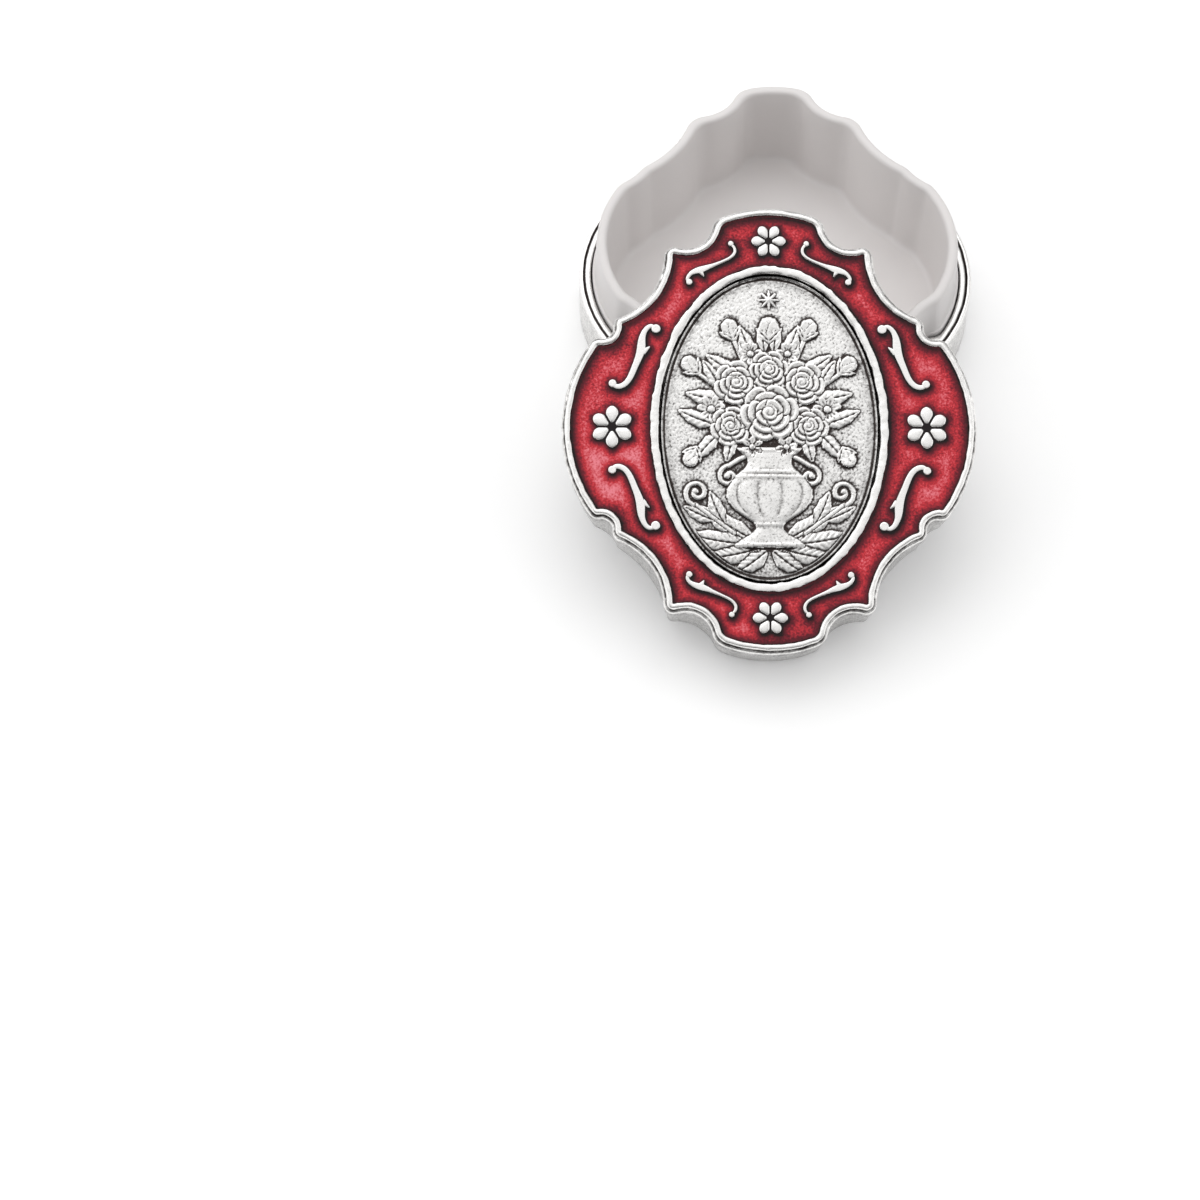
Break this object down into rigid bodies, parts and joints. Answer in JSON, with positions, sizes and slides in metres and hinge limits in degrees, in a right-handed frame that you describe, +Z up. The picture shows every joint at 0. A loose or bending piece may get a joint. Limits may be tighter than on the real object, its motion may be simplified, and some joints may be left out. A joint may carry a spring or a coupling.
{
  "type": "rosary box",
  "caption": "Lobed keepsake box: cast cup, white tray with a raised neck, and a deep lift-off lid with an enamel field, ornaments and an oval plaque, leaning on the tray's rim.",
  "frame": {"origin": "centre of the base's flat underside", "axes": "+Z up, Y along the box's length with the lid leaning at the -Y side, X across its width"},
  "size_m": [0.0735, 0.1194, 0.0379],
  "materials": {
    "cast_silver": "silver plate on a zinc casting, antiqued in the hollows",
    "white_tray": "satin moulded plastic",
    "red_enamel": "translucent glossy enamel",
    "plaque_silver": "stamped silver, antiqued"
  },
  "bodies": {
    "base": {"base_shell": "cast_silver", "base_liner": "white_tray"},
    "lid": {"lid_casting": "cast_silver", "lid_enamel": "red_enamel", "lid_medallion": "plaque_silver"}
  },
  "joints": [
    {"name": "lid_lift", "type": "slide", "parent": "base", "child": "lid", "axis": [0, 0, 1], "range_m": [0, 0.045]}
  ]
}
